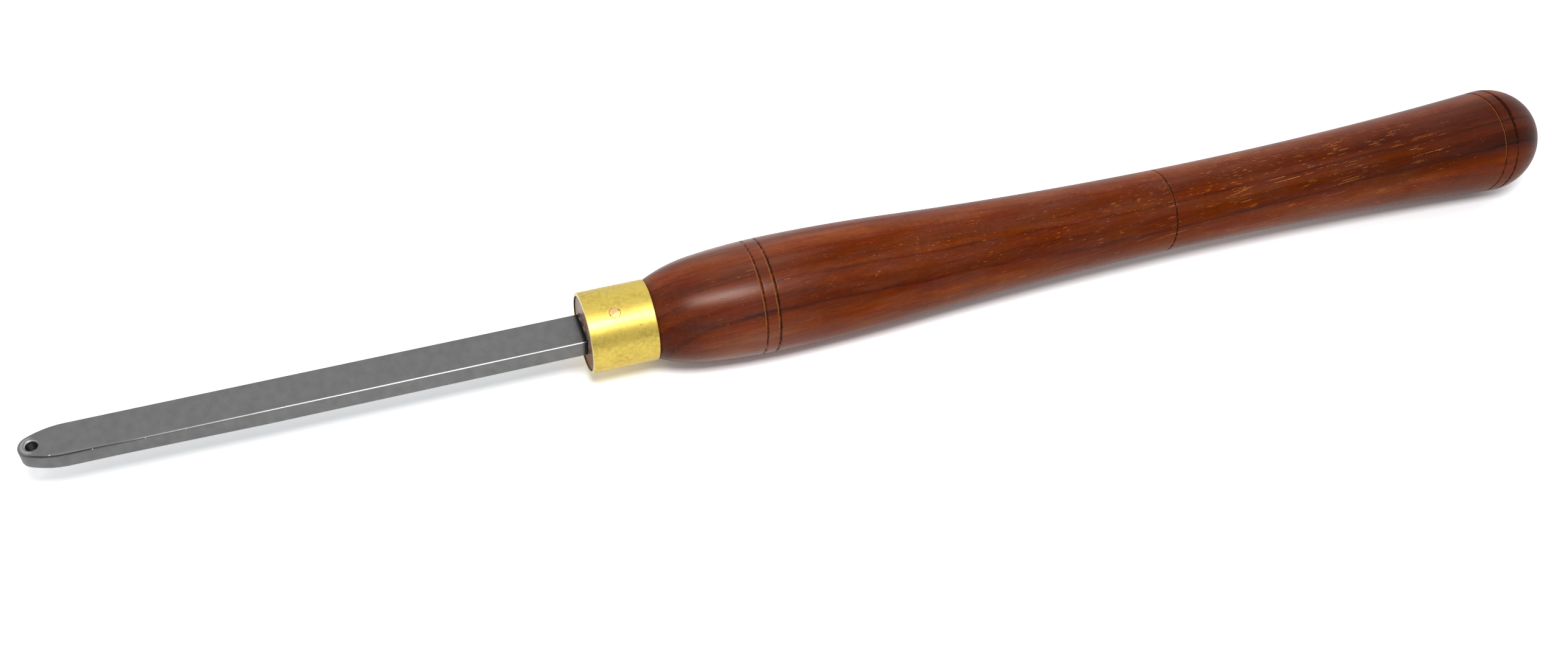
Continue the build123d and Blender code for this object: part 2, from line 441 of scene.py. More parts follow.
def handle_rings(outline):
    """Stations and radii of the handle's rings, close together near the grooves.

    Over the dome they are the sine and the cosine of a bend, times the dome's radius.
    """
    dome_station, dome_radius = outline[-1]
    fine = np.arange(-GROOVE_REACH, GROOVE_REACH + GROOVE_STEP / 2, GROOVE_STEP)
    near_grooves = [groove.station + fine for groove in GROOVES]
    plain = np.arange(outline[0, 0], dome_station, PLAIN_STEP)
    from_grooves = np.abs(plain[:, None] - [groove.station for groove in GROOVES]).min(axis=1)
    plain = plain[from_grooves > GROOVE_REACH + PLAIN_MARGIN]
    station = np.sort(np.concatenate([plain, *near_grooves]))
    station = station[station < dome_station]
    radius = np.interp(station, outline[:, 0], outline[:, 1])
    fine_end = math.asin(GROOVE_REACH / dome_radius)
    bend = np.concatenate([
        np.linspace(0, fine_end, 11)[:-1],
        np.linspace(fine_end, math.pi / 2, 28)[:-1],
    ])
    station = np.concatenate([station, dome_station + dome_radius * np.sin(bend)])
    radius = np.concatenate([radius, dome_radius * np.cos(bend)])
    return station[:, None], radius[:, None]


def handle_mesh(handle, bar):
    """The whole handle as rings: up the mortise, over the end grain, along the tenon and the outside.

    Two rings lie close together at each sharp edge.
    """
    turn = np.linspace(0, 2 * np.pi, POINTS_AROUND, endpoint=False)
    outline = turned_outline(handle)
    station, radius = handle_rings(outline)
    carved, dark, pale = grooved(station, radius, turn[None, :], handle.groove_angle / 2)
    outside = turned(station, carved, turn[None, :])

    mouth_x = FACE_X + TENON_RECESS
    mortise_end = mouth_x + MORTISE_LENGTH
    width, height = (TANG_SHARE * v / MM for v in (bar.width, bar.height))
    inside = [
        rectangle_ring(x, width, height, turn)
        for x in (mortise_end, mortise_end - 2 * CREASE, mouth_x + 2 * CREASE, mouth_x)
    ]
    # the end grain's rings change from the mortise's rectangle to the tenon's circle
    rim = turned(TENON_RECESS, TENON_R, turn)
    steps = 8
    end_grain = [inside[-1] + (rim - inside[-1]) * share for share in np.linspace(0, 1, steps + 1)[1:]]
    foot = outline[0, 0]
    tenon = [
        turned(TENON_RECESS + CREASE, TENON_R, turn),
        turned(foot - CREASE, TENON_R, turn),
        turned(foot, TENON_R, turn),
        turned(foot, TENON_R + CREASE, turn),
    ]
    rings = np.concatenate([np.stack(inside + end_grain + tenon), outside])
    deep = np.array([mortise_end, 0, AXIS_HEIGHT - BAR_DROP])
    tip = np.array([FACE_X + outline[-1].sum(), 0, AXIS_HEIGHT])
    mesh = new_mesh("handle_wood", closed_tube(rings, deep, tip))
    plain = np.zeros((len(rings) - len(outside), len(turn)))
    mark(mesh, "groove_dark", np.concatenate([plain, dark]))
    mark(mesh, "groove_pale", np.concatenate([plain, pale]))
    plain[len(inside) - 1:len(inside) + steps] = 1
    mark(mesh, "end_grain", np.concatenate([plain, 0 * dark]))
    return mesh


def adhesive_mesh(bar, adhesive):
    """The bead of dried adhesive round the bar's root, as a ring of circles.

    Its path has the polar radius of a rectangle with rounded corners, which is the sum of the eighth
    powers of |cos|/half width and |sin|/half height, to the power -1/8. The circles' radius is the
    bead's thickness with long and short waves and one lump on the upper side, and they are a little
    flattened along the bar.
    """
    width, height = (v / MM for v in (bar.width, bar.height))
    power = 8
    around = np.linspace(0, 2 * np.pi, 220, endpoint=False)[:, None]
    section = np.linspace(0, 2 * np.pi, 14, endpoint=False)[None, :]
    share = (np.abs(np.cos(around)) * 2 / width) ** power
    share = share + (np.abs(np.sin(around)) * 2 / height) ** power
    path = share ** (-1 / power)
    thick = adhesive.thickness / MM + 0.08 * waves(0, around, 60, 1, 7)
    thick = thick + 0.02 * waves(0, around, 61, 1, 24)
    lump_at, lump_height, lump_width = math.radians(35), 0.25, 0.25
    lump = lump_height * np.exp(-((around - lump_at) / lump_width) ** 2)
    thinnest, thickest, flattened = 0.14, 0.8, 0.9
    thick = np.clip(thick + lump, thinnest, thickest)
    out = path + thick * np.cos(section)
    x = FACE_X + TENON_RECESS - CREASE - flattened * thick * np.sin(section)
    ring = np.stack(np.broadcast_arrays(
        x, out * np.cos(around), AXIS_HEIGHT - BAR_DROP + out * np.sin(around)
    ), axis=-1)
    return new_mesh("dried_adhesive", closed_tube(ring))


RELIEF_DEPTH = 1.1           # ground away under the nose
RELIEF_LENGTH = 26.0         # full depth, from the nose
RELIEF_RUN_OUT = 40.0
FACET_LENGTH = 52.0          # shallow facet that fades out along the front top edge
FACET_WIDTH = 1.7
FACET_DEPTH = 0.5
THREAD_PITCH = 0.7
THREAD_DEPTH = 0.35
THREAD_FULL = 1.2            # below the top face
SINK_R = 2.1                 # of the tapped hole at the top face
LOWER_SINK_R = 2.0           # and at its lower end
GROUND_SHARPER = 0.88        # share of the edge's rounding that the relief has taken away
TANG_LENGTH = 75.0
TANG_CHAMFER = 1.0
TOP_INSET = 1.6              # how far in from the bar's outline the rings keep its shape
INSET_INSIDE = 3.0           # the mark of what lies further in


def bar_outline(bar):
    """The bar's plan from the mouth over the nose and back: centres, radii and outward normals' angles.

    A point inset by d is its centre plus (radius - d) along the normal. On a flank the centre is on
    the axis and the radius is half the width. The long arc's centre lies beside the flank's end, and
    the tip's centre lies on the axis, as far from it as the two radii differ, so that each arc is
    tangent to the next.
    """
    half, tip, side = (v / MM for v in (bar.width / 2, bar.tip_radius, bar.side_radius))
    run = math.sqrt((side - tip) ** 2 - (side - half) ** 2)
    flank_end = NOSE_X + tip + run
    join = math.pi - math.atan2(side - half, run)
    mouth_x = FACE_X + TENON_RECESS
    flank = np.concatenate([[mouth_x, mouth_x - 0.04], np.linspace(mouth_x - 1.0, flank_end, 64)[:-1]])
    long_arc = np.linspace(math.pi / 2, join, 44)[:-1]
    tip_arc = np.linspace(join, math.pi, 30)
    pieces = (
        (flank, 0 * flank, half, np.full(len(flank), math.pi / 2)),
        (np.full(len(long_arc), flank_end), np.full(len(long_arc), half - side), side, long_arc),
        (np.full(len(tip_arc), NOSE_X + tip), 0 * tip_arc, tip, tip_arc),
    )
    centre_x, centre_y, radius, angle = (
        np.concatenate([np.broadcast_to(piece[i], len(piece[0])) for piece in pieces]) for i in range(4)
    )
    back = slice(-2, None, -1)
    return (
        np.concatenate([centre_x, centre_x[back]]), np.concatenate([centre_y, -centre_y[back]]),
        np.concatenate([radius, radius[back]]), np.concatenate([angle, -angle[back]]),
    )


def hole_radius(z, turn, low):
    """Radius of the tapped hole at a height and turn: its thread, or the sinks' cones where wider.

    The thread is a triangle wave of the height over the pitch less the turn, stretched and clipped
    for its flat crests and roots.
    """
    phase = ((z - low) / THREAD_PITCH - turn / (2 * np.pi)) % 1
    depth = THREAD_DEPTH * smooth_step(BAR_TOP - z, SINK_R - TAPPED_R, THREAD_FULL)
    thread = TAPPED_R + depth * np.clip(1.3 * (1 - np.abs(2 * phase - 1)) - 0.15, 0, 1)
    return np.maximum(thread, max(SINK_R - (BAR_TOP - z), LOWER_SINK_R - (z - low)))


def tang_tube(width, height):
    """The tang, from 1 mm inside the bar: a rectangle carried along the axis, chamfered at its end."""
    around = np.linspace(0, 2 * np.pi, 48, endpoint=False)
    start = FACE_X + TENON_RECESS - 1
    end = FACE_X + TENON_RECESS + TANG_LENGTH
    rings = np.stack([
        rectangle_ring(x, TANG_SHARE * width * share, TANG_SHARE * height * share, around)
        for x, share in ((start, 1), (end - TANG_CHAMFER, 1), (end, 0.8))
    ])
    poles = [[x, 0, AXIS_HEIGHT - BAR_DROP] for x in (start, end)]
    return closed_tube(rings, *poles)


def bar_mesh(bar):
    """The bar as rings that have a point for each of its outline's, and the tang.

    The rings run up the hole, over the top, down the side and back below. Over the top they change
    from the sink's circle to the outline. The edges are quarter circles, the bottom follows the
    relief, and the facet's plane cuts the top.
    """
    centre_x, centre_y, radius, angle = bar_outline(bar)
    rounding, width, height = bar.edge / MM, bar.width / MM, bar.height / MM
    bottom = BAR_TOP - height
    # the end face leans a little, so that its rings lie one behind another
    tail = 0.05 * (centre_x > FACE_X + TENON_RECESS - 0.01)
    relief_end = NOSE_X + RELIEF_LENGTH + RELIEF_RUN_OUT

    def relief(x):
        return RELIEF_DEPTH * np.clip((relief_end - x) / RELIEF_RUN_OUT, 0, 1)

    def ring(inset, z):
        x = centre_x + (radius - inset) * np.cos(angle) - tail * inset
        return np.stack([x, centre_y + (radius - inset) * np.sin(angle), z + 0 * x], axis=-1)

    x, y, _ = ring(TOP_INSET, BAR_TOP).T
    hole_turn = np.arctan2(y - TAPPED_Y, x - TAPPED_X)

    def hole_ring(r, z):
        across, aside = r * np.cos(hole_turn), r * np.sin(hole_turn)
        return np.stack([TAPPED_X + across, TAPPED_Y + aside, z + 0 * x], axis=-1)

    low = bottom + relief(ring(0, 0).T[0])
    low_rounding = rounding * (1 - GROUND_SHARPER * (low - bottom) / RELIEF_DEPTH)
    hole_low = bottom + RELIEF_DEPTH
    # each ring with its inset, for the material
    rings = [
        (hole_ring(hole_radius(z, hole_turn, hole_low), z), INSET_INSIDE)
        for z in np.arange(hole_low, BAR_TOP, THREAD_PITCH / 10)
    ]
    for step in (0, 0.02, 0.2, 0.5, 0.8):
        over = hole_ring(SINK_R, BAR_TOP) * (1 - step) + ring(TOP_INSET, BAR_TOP) * step
        rings.append((over, INSET_INSIDE + (TOP_INSET - INSET_INSIDE) * step))
    for inset in np.linspace(TOP_INSET, rounding, 10)[:-1]:
        rings.append((ring(inset, BAR_TOP), inset))
    for bend in np.linspace(0, math.pi / 2, 9):
        inset = rounding * (1 - math.sin(bend))
        rings.append((ring(inset, BAR_TOP - rounding * (1 - math.cos(bend))), inset))
    for step in np.linspace(0, 1, 7)[1:-1]:
        down = (BAR_TOP - rounding) * (1 - step) + (low + low_rounding) * step
        rings.append((ring(0.0, down), 0.0))
    for bend in np.linspace(math.pi / 2, 0, 8):
        up = low_rounding * (1 - math.cos(bend))
        rings.append((ring(low_rounding * (1 - math.sin(bend)), low + up), 0.0))
    for step in np.linspace(0, 1, 16)[1:-1] ** 2:
        below = ring(TOP_INSET, 0) * (1 - step) + hole_ring(SINK_R, 0) * step
        below[:, 2] = bottom + relief(below[:, 0])
        rings.append((below, 0.0))

    points = np.stack([place for place, _ in rings])
    insets = np.array([inset for _, inset in rings])[:, None] + 0 * points[..., 0]
    x, y, z = np.moveaxis(points, -1, 0)
    fade = (y + width / 2) / FACET_WIDTH + (x - NOSE_X) / FACET_LENGTH
    facet = BAR_TOP - FACET_DEPTH * (1 - fade)
    z[:] = np.where(insets < INSET_INSIDE, np.minimum(z, facet), z)

    mesh = new_mesh("steel_bar_ground", closed_tube(points), tang_tube(width, height))
    mesh.set_sharp_from_angle(angle=math.radians(40))
    mark(mesh, "inset", insets)
    return mesh


# Ferrule screw: its station, turn, head and slot, and the seat that it fills in the tube
SCREW_STATION = 8.8
SCREW_TURN = math.radians(21.3)
SCREW_HEAD_R = 1.7
SLOT_TURN = math.radians(21.0)
SEAT_SLOPE = 6               # steep, so that the seat's rim is crisp
SEAT_DEPTH = 0.8
SEAT_MARGIN = 0.5            # around the head, where the tube's rings and points are close
TUBE_UNEVEN = 0.012
BORE_EDGE = 0.06             # the chamfer at the ends of the bore


def ferrule_mesh(ferrule):
    """A length of tube as rings: along the outside, over a rim, back along the bore and over the other.

    Its outer edges are quarter circles. The outside sinks under the screw's head by the slope times
    the distance inwards from the head's rim, down to the seat's depth, and waves make it uneven.
    """
    sizes = (ferrule.length, ferrule.radius, ferrule.wall, ferrule.edge)
    length, outer, wall, edge = (v / MM for v in sizes)
    reach = SCREW_HEAD_R + SEAT_MARGIN
    turn_reach = reach / outer
    turn = np.unique(np.concatenate([
        np.linspace(SCREW_TURN - turn_reach, SCREW_TURN + turn_reach, 64),
        np.linspace(SCREW_TURN + turn_reach, SCREW_TURN - turn_reach + 2 * np.pi, 190)[1:-1],
    ]))
    station = np.unique(np.concatenate([
        np.linspace(edge, SCREW_STATION - reach, 30),
        np.linspace(SCREW_STATION - reach, SCREW_STATION + reach, 64),
        np.linspace(SCREW_STATION + reach, length - edge, 46),
    ]))
    corner = np.linspace(0, math.pi / 2, 6)
    out_station = np.concatenate([
        edge - edge * np.cos(corner), station[1:-1], length - edge + edge * np.sin(corner),
    ])
    out_radius = np.concatenate([
        outer - edge + edge * np.sin(corner),
        np.full(len(station) - 2, outer),
        outer - edge + edge * np.cos(corner),
    ])
    bore_station = np.array([length, length - BORE_EDGE, length / 2, BORE_EDGE, 0.0])
    bore_radius = outer - wall + np.array([BORE_EDGE, 0, 0, 0, BORE_EDGE])
    station = np.concatenate([out_station, bore_station])[:, None]
    radius = np.concatenate([out_radius, bore_radius])[:, None] + 0 * turn[None, :]
    outside = (np.arange(len(station)) < len(out_station))[:, None]
    sideways = (turn[None, :] - SCREW_TURN) * outer
    distance = np.hypot(station - SCREW_STATION, sideways)
    seat = np.clip((SCREW_HEAD_R - distance) * SEAT_SLOPE, 0, SEAT_DEPTH)
    radius = radius - seat * outside
    radius = radius + TUBE_UNEVEN * waves(station, turn[None, :], 3, 9.0, 9) * outside
    rings = turned(station, radius, turn[None, :])
    return new_mesh("ferrule_tube", closed_tube(rings))


# Materials

MIX_A, MIX_B = 6, 7          # the colours of a Mix node


def set_inputs(tree, node, inputs):
    """Gives each input a value, or a link from an output or from a node's first output in use."""
    for key, value in inputs.items():
        if isinstance(value, bpy.types.Node):
            value = next(output for output in value.outputs if output.enabled)
        if isinstance(value, bpy.types.NodeSocket):
            tree.links.new(value, node.inputs[key])
        else:
            node.inputs[key].default_value = value


def add_node(tree, kind, inputs=None, stops=(), **settings):
    """Adds a shader node with its settings, the stops of its colour ramp and its inputs.

    Inputs go by name or number. Math and Vector Math work on 0 and 1, and add 2 where they add. Map
    Range takes input 0 from the range of 1 to 2 over to that of 3 to 4, or of 0 to 1 without them.
    Mix takes its share as 0 and what it mixes as 2 and 3, or as MIX_A and MIX_B for colours.
    """
    node = tree.nodes.new("ShaderNode" + kind)
    for name, value in settings.items():
        setattr(node, name, value)
    for _ in stops[2:]:
        node.color_ramp.elements.new(0.5)
    for index, (place, colour) in enumerate(stops):
        node.color_ramp.elements[index].position = place
        node.color_ramp.elements[index].color = colour
    set_inputs(tree, node, inputs or {})
    return node


def coated(tree, colour, *coats):
    """A colour under coats laid one on another.

    Each coat is a paint and the masks whose product is how much it covers.
    """
    for paint, share, *masks in coats:
        for mask in masks:
            share = add_node(tree, "Math", {0: share, 1: mask}, operation="MULTIPLY")
        colour = add_node(tree, "Mix", {0: share, MIX_A: colour, MIX_B: paint}, data_type="RGBA")
    return colour


def summed(tree, value, *parts):
    """A value with parts added to it, each a number and its weight."""
    for part, weight in parts:
        value = add_node(tree, "Math", {0: part, 1: weight, 2: value}, operation="MULTIPLY_ADD")
    return value


def new_material(name, kind="BsdfPrincipled"):
    """A material that has only its output and a shader, with its node tree and that shader."""
    material = bpy.data.materials.new(name)
    material.use_nodes = True
    tree = material.node_tree
    tree.nodes.clear()
    shader = add_node(tree, kind)
    add_node(tree, "OutputMaterial", {"Surface": shader})
    return material, tree, shader


def set_surface(tree, shader, colour, rough, height, depth, metallic=0.0):
    """Gives a shader its colour, its roughness and a bump whose height of 1 is depth millimetres."""
    bump = add_node(tree, "Bump", {"Height": height, "Distance": depth * MM, "Strength": 1.0})
    set_inputs(tree, shader, {
        "Base Color": colour, "Roughness": rough, "Normal": bump, "Metallic": metallic,
    })


def place_in_mm(tree):
    """The place on the piece in millimetres, from the point on the tool's axis over the origin."""
    place = add_node(tree, "TexCoord").outputs["Object"]
    return add_node(tree, "Mapping", {
        "Vector": place, "Scale": (1 / MM,) * 3, "Location": (0, 0, -AXIS_HEIGHT),
    })


def grain_space(tree, place, long, thick, shift):
    """The place in steps of long millimetres along the tool and thick across it, then shifted."""
    return add_node(tree, "Mapping", {
        "Vector": place, "Scale": (1 / long, 1 / thick, 1 / thick), "Location": (shift,) * 3,
    })


def stretched_noise(tree, place, long, thick, detail, shift):
    """Noise whose grains are about long millimetres along the tool and thick across it."""
    return add_node(tree, "TexNoise", {
        "Vector": grain_space(tree, place, long, thick, shift),
        "Scale": 1.0, "Detail": detail, "Roughness": 0.55,
    })


def grain_noise(tree, place, long, thick, low=-1.0, high=1.0, detail=3.0, shift=0.0):
    """Noise stretched along the grain, spread from low to high."""
    noise = stretched_noise(tree, place, long, thick, detail, shift)
    return add_node(tree, "MapRange", {0: noise, 1: 0.3, 2: 0.7, 3: low, 4: high}, clamp=False)


def shifted(tree, place, reach, long, thick, shift=0.0):
    """The place moved sideways by a noise, by up to about reach millimetres."""
    noise = stretched_noise(tree, place, long, thick, 2.0, shift).outputs["Color"]
    centred = add_node(tree, "VectorMath", {0: noise, 1: (0.5, 0.5, 0.5)}, operation="SUBTRACT")
    sideways = (0.0, 4 * reach, 4 * reach)
    return add_node(tree, "VectorMath", {0: centred, 1: sideways, 2: place}, operation="MULTIPLY_ADD")


def near(tree, value, middle, reach):
    """1 where the value is at its middle, falling smoothly to 0 at reach from it."""
    away = add_node(tree, "Math", {0: value, 1: middle}, operation="SUBTRACT")
    away = add_node(tree, "Math", {0: away}, operation="ABSOLUTE")
    return add_node(
        tree, "MapRange", {0: away, 1: 0.0, 2: reach, 3: 1.0, 4: 0.0}, interpolation_type="SMOOTHSTEP"
    )


def distance_from(tree, place, point, axes=(1, 1, 1)):
    """Distance of the place from a point, in which each axis counts as much as axes says."""
    away = add_node(tree, "VectorMath", {0: place, 1: point}, operation="SUBTRACT")
    away = add_node(tree, "VectorMath", {0: away, 1: axes}, operation="MULTIPLY")
    return add_node(tree, "VectorMath", {0: away}, operation="LENGTH")


# Growth layers are curved sheets. Their depth in millimetres is the distance along their normal,
# bent by the square of the distance across it, and each depth has its tone, from 0, nearly black,
# through 0.5, the common brown, to 1, palest. The close pairs of stops are thin dark lines.
LAYER_TURN = math.radians(115.0)     # of the normal about the tool's axis
LAYER_TILT = 0.019           # of the normal along the tool
LAYER_SLANT = -0.05          # of the bend's middle line along the tool
LAYER_CURVE = 0.018          # one over the bend's radius
LAYER_FROM = -21.0           # depths of the first and the last layer
LAYER_TO = 24.0
LAYERS = (
    (-21.0, 0.50), (-17.6, 0.64), (-17.0, 0.36), (-13.2, 0.66), (-12.6, 0.40), (-9.5, 0.72),
    (-7.5, 0.67), (-5.4, 0.55), (-4.4, 0.50), (-4.2, 0.36), (-3.6, 0.48), (-1.8, 0.41),
    (0.2, 0.38), (1.2, 0.40), (1.4, 0.28), (1.9, 0.41), (3.4, 0.48), (4.1, 0.42), (4.4, 0.25),
    (4.9, 0.41), (6.6, 0.46), (7.6, 0.46), (8.2, 0.34), (9.6, 0.36), (11.3, 0.34), (11.7, 0.22),
    (12.2, 0.44), (13.6, 0.54), (16.0, 0.67), (19.5, 0.64), (24.0, 0.66),
)
MEAN_TONE = 0.45             # where the layers are strong, their tones lie further from it
# Patches where the layers turn paler or darker: middle and half width in station, then in depth,
# then the change
PATCHES = (
    (180, 50, 10.2, 2.6, 0.09),
    (290, 75, 3.6, 6.5, -0.10),
    (315, 60, 11.5, 5.0, -0.14),
    (28, 14, 4.0, 20.0, -0.09),
    (42, 26, 0.0, 3.5, -0.08),
    (52, 40, -9.0, 3.2, -0.10),
    (125, 40, -5.8, 2.0, 0.06),
    (100, 55, 12.8, 1.2, -0.06),
)
# Painted shade for the key light's falloff: the stations between which the whole wood darkens, and by
# how much
PAINTED_SHADE_END = (235.0, 325.0, -0.13)


def growth_layers(tree, place, along, feathered):
    """The tone of the growth layers, stronger in some places than in others, with the patches in it."""
    normal = (LAYER_TILT, -math.sin(LAYER_TURN), math.cos(LAYER_TURN))
    across = (LAYER_SLANT, math.cos(LAYER_TURN), math.sin(LAYER_TURN))
    along_normal, along_layer = (
        add_node(tree, "VectorMath", {0: feathered, 1: axis}, operation="DOT_PRODUCT")
        for axis in (normal, across)
    )
    squared = add_node(tree, "Math", {0: along_layer, 1: along_layer}, operation="MULTIPLY")
    depth = summed(tree, along_normal, (squared, LAYER_CURVE / 2))
    share = add_node(tree, "MapRange", {0: depth, 1: LAYER_FROM, 2: LAYER_TO})
    layers = add_node(tree, "ValToRGB", {0: share}, stops=[
        ((at - LAYER_FROM) / (LAYER_TO - LAYER_FROM), (tone, tone, tone, 1.0)) for at, tone in LAYERS
    ])
    strength = grain_noise(tree, place, 26, 4, low=0.35, high=1.45, detail=2.0, shift=12.0)
    tone = add_node(tree, "Math", {0: layers, 1: MEAN_TONE}, operation="SUBTRACT")
    tone = summed(tree, MEAN_TONE, (tone, strength))
    for station, reach, middle, thick, change in PATCHES:
        there = near(tree, along, FACE_X + station, reach)
        changed = add_node(tree, "Math", {0: there, 1: change}, operation="MULTIPLY")
        tone = summed(tree, tone, (changed, near(tree, depth, middle, thick)))
    # painted shade towards the dome
    start, end, change = PAINTED_SHADE_END
    darker = add_node(tree, "MapRange", {
        0: along, 1: FACE_X + start, 2: FACE_X + end, 3: 0.0, 4: change,
    })
    return add_node(tree, "Math", {0: tone, 1: darker}, operation="ADD")


def grain_cells(tree, place, long, thick, reach, share, clusters, ragged, shift):
    """A mask of long thin cells cut by the surface, and one random value for each.

    A cell lies inside reach of its middle, in a space where it is about 1 each way. Share of the
    cells are there at all, clusters makes them larger in some places than in others, and ragged, a
    fine noise, breaks their edges.
    """
    space = grain_space(tree, place, long, thick, shift)
    cells = add_node(tree, "TexVoronoi", {"Vector": space, "Scale": 1.0})
    random = add_node(tree, "SeparateColor", {0: cells.outputs["Color"]})
    size = add_node(tree, "MapRange", {0: random, 1: 1 - share, 2: 1.0, 3: -0.3 * reach, 4: reach})
    size = add_node(tree, "Math", {0: size, 1: clusters}, operation="MULTIPLY")
    edge = summed(tree, cells.outputs["Distance"], (ragged, 0.35 * reach))
    inside = add_node(tree, "Math", {0: size, 1: edge}, operation="SUBTRACT")
    mask = add_node(
        tree, "MapRange", {0: inside, 1: 0.0, 2: 0.3 * reach}, interpolation_type="SMOOTHSTEP"
    )
    return mask, random.outputs["Green"]


# Flecks: the length and thickness of their cells in millimetres, reach in cells, share of the
# cells that have one, and shift
FLECKS = (
    (34, 0.56, 0.25, 1.0, 0.0),
    (21, 0.48, 0.28, 1.0, 20.0),
    (13, 0.42, 0.31, 1.0, 30.0),
    (7, 0.36, 0.30, 0.95, 40.0),
)
# Flecks grow away from the shoulder and fade before the dome: two stations, and what the flecks'
# size is multiplied by at each
FLECK_GROWTH = (
    (30, 240, 0.5, 1.12),
    (285, 323, 1.0, 0.15),
)
# The fibres sink 0.08 and lean 0.02 for each step along the tool, and the layers do not
FIBRE_RISE = (0.0, -0.02, -0.08)
# The varnish is thicker, and its gloss sharper, on the shoulder: station, reach, and the most that
# it weighs there
THICK_VARNISH = (46, 32, 0.32)
ROUGH_WOOD = 0.31
ROUGH_SHOULDER = 0.22
WOOD_RELIEF = 0.03           # depth of the pores, in millimetres


def end_grain_colour(tree, place, handle):
    """Scraped end grain in the ferrule's mouth: brown, paler and pinkish towards the top.

    It has painted shade in the gap beside the ferrule.
    """
    from_axis = distance_from(tree, place, (0, 0, 0), (0, 1, 1))
    turned_marks = add_node(tree, "TexNoise", {"W": from_axis, "Scale": 2.2}, noise_dimensions="1D")
    blotches = add_node(tree, "TexNoise", {
        "Vector": place, "Scale": 0.8, "Detail": 4.0, "Roughness": 0.6,
    })
    height = add_node(tree, "SeparateXYZ", {0: place}).outputs["Z"]
    top = add_node(tree, "MapRange", {0: height, 1: -4.0, 2: 9.0})
    pale = add_node(tree, "MapRange", {0: blotches, 1: 0.40, 2: 0.66})
    red = add_node(tree, "MapRange", {0: turned_marks, 1: 0.35, 2: 0.65})
    # painted shade where the ferrule's rim shades the end grain
    gap = add_node(
        tree, "MapRange", {0: from_axis, 1: TENON_R - 0.34, 2: TENON_R - 0.22},
        interpolation_type="SMOOTHSTEP",
    )
    return coated(
        tree, handle.end_brown, (handle.end_red, red), (handle.end_pale, pale, top), (handle.line, gap)
    )


def fleck_coats(tree, handle, along, fibres, bent_fibres, ragged):
    """Coats for the golden flecks that fill pores.

    They are up to 0.3 mm wide and 20 mm long, and most are far shorter.
    """
    clusters = grain_noise(tree, fibres, 20, 4.5, low=0.45, high=1.05, detail=1.5, shift=11.0)
    for start, end, at_start, at_end in FLECK_GROWTH:
        growth = add_node(tree, "MapRange", {
            0: along, 1: FACE_X + start, 2: FACE_X + end, 3: at_start, 4: at_end,
        })
        clusters = add_node(tree, "Math", {0: clusters, 1: growth}, operation="MULTIPLY")
    for long, thick, reach, share, shift in FLECKS:
        fleck, bright = grain_cells(
            tree, bent_fibres, long, thick, reach, share, clusters, ragged, shift
        )
        strength = add_node(tree, "MapRange", {0: bright, 1: 0.0, 2: 1.0, 3: 0.25, 4: 0.9})
        yield handle.fleck, fleck, strength


def groove_mask(tree, ragged, mark_name, broken, low, high, most):
    """How much a groove's paint covers, from the mesh's mark, broken up at its edges by a noise."""
    marked = add_node(tree, "Attribute", attribute_name=mark_name).outputs["Fac"]
    marked = summed(tree, marked, (ragged, broken))
    return add_node(
        tree, "MapRange", {0: marked, 1: low, 2: high, 3: 0.0, 4: most}, interpolation_type="SMOOTHSTEP"
    )


